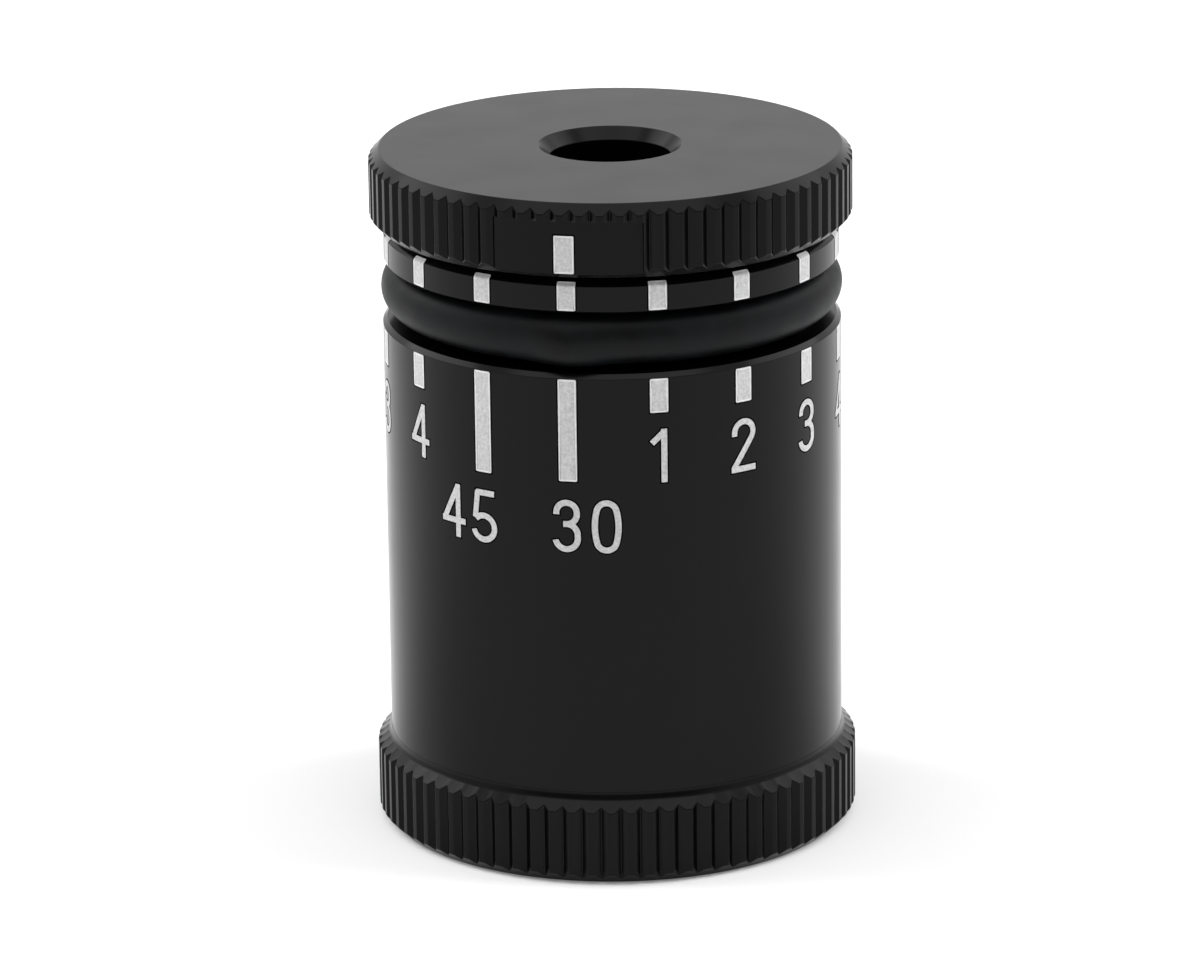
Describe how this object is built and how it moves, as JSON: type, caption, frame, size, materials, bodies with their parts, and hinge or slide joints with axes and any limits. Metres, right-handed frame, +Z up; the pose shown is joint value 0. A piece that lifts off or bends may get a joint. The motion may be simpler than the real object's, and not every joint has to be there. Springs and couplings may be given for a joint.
{
  "type": "ride height gauge",
  "caption": "Small round ride height gauge: a knurled cap on a plunger climbs a ball track in a scaled barrel as it is turned, over a knurled foot.",
  "frame": {"origin": "centre of the foot's bottom face, on the axis of the barrel", "axes": "+Z up along the axis of the barrel, -Y towards the lowest mark of the scale and the index line at rest"},
  "size_m": [0.021, 0.021, 0.03],
  "materials": {
    "anodised_cap": "black hard anodised, fine turned",
    "anodised_plunger": "black hard anodised, fine turned",
    "anodised_barrel": "black hard anodised, satin, with laser marks",
    "anodised_foot": "black hard anodised, fine turned",
    "bright_steel": "polished bearing steel",
    "dark_steel": "black oxide steel",
    "guide_plastic": "natural white bearing plastic",
    "bronze": "turned bronze",
    "rubber": "matte black rubber"
  },
  "bodies": {
    "base": {"barrel": "anodised_barrel", "throat_bush": "bronze", "detent_ring": "rubber", "foot": "anodised_foot", "foot_screws": "dark_steel"},
    "guide": {"guide_ring": "guide_plastic"},
    "head": {"cap": "anodised_cap", "plunger": "anodised_plunger", "index_dowel": "bright_steel"},
    "ball": {"detent_ball": "bright_steel"}
  },
  "joints": [
    {"name": "cap_lift", "type": "slide", "parent": "base", "child": "guide", "axis": [0, 0, 1], "range_m": [0, 0.015]},
    {"name": "cap_turn", "type": "hinge", "parent": "guide", "child": "head", "pos_m": [0, 0, 0], "axis": [0, 0, 1], "range_deg": [0, 337.5]},
    {"name": "ball_click", "type": "slide", "parent": "base", "child": "ball", "axis": [0, 1, 0], "range_m": [0, 0.0002], "stiffness_N_per_m": 200, "springref_m": 0.001}
  ],
  "couplings": [
    {"joint": "cap_turn", "follows": "cap_lift", "rad_per_m": 392.7}
  ]
}
